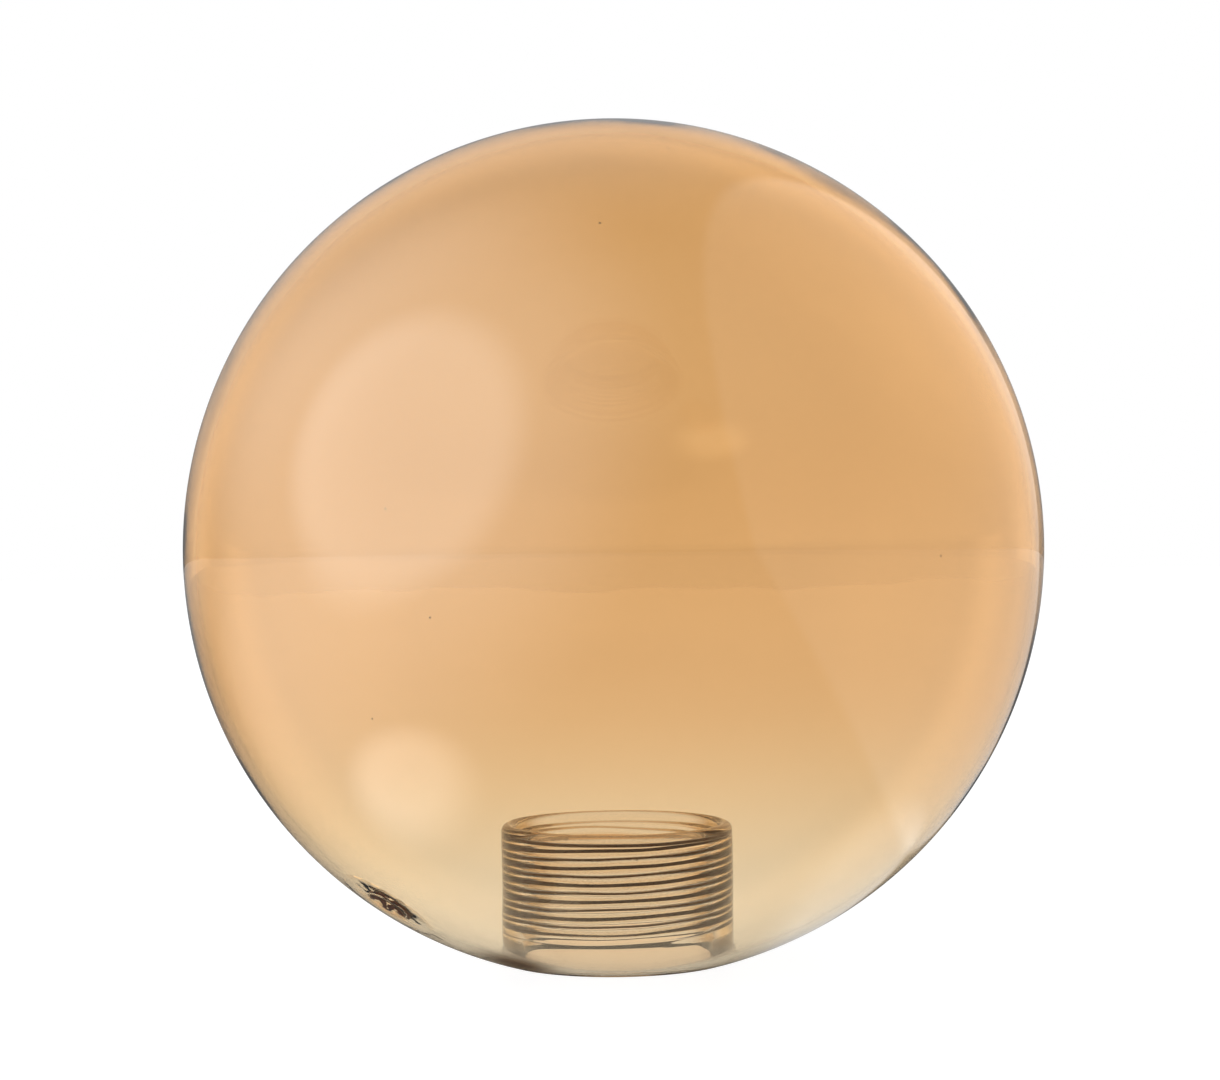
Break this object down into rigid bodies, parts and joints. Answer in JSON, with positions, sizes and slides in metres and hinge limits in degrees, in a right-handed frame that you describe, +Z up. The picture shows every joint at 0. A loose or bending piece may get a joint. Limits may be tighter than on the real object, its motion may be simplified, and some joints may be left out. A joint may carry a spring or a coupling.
{
  "type": "glass globe lampshade",
  "caption": "Clear amber glass globe shade with an internally threaded glass collar fused inside its mouth, screwed onto a small lampholder.",
  "frame": {"origin": "centre of the open mouth, in the plane of the ring that the shade stands on", "axes": "+Z up along the axis of the collar and the globe; +X to the right and -Y towards the viewer as the shade stands in the picture"},
  "size_m": [0.12, 0.12, 0.1177],
  "materials": {
    "globe_glass": "clear, champagne amber, fire polished",
    "collar_glass": "clear, moulded thread, smooth outside",
    "seam_glass": "clear, flame fused",
    "seal_glass": "clear, flame sealed"
  },
  "bodies": {
    "root": {"globe": "globe_glass", "threaded_collar": "collar_glass", "fused_seam": "seam_glass", "seal_drop": "seal_glass"}
  },
  "joints": []
}
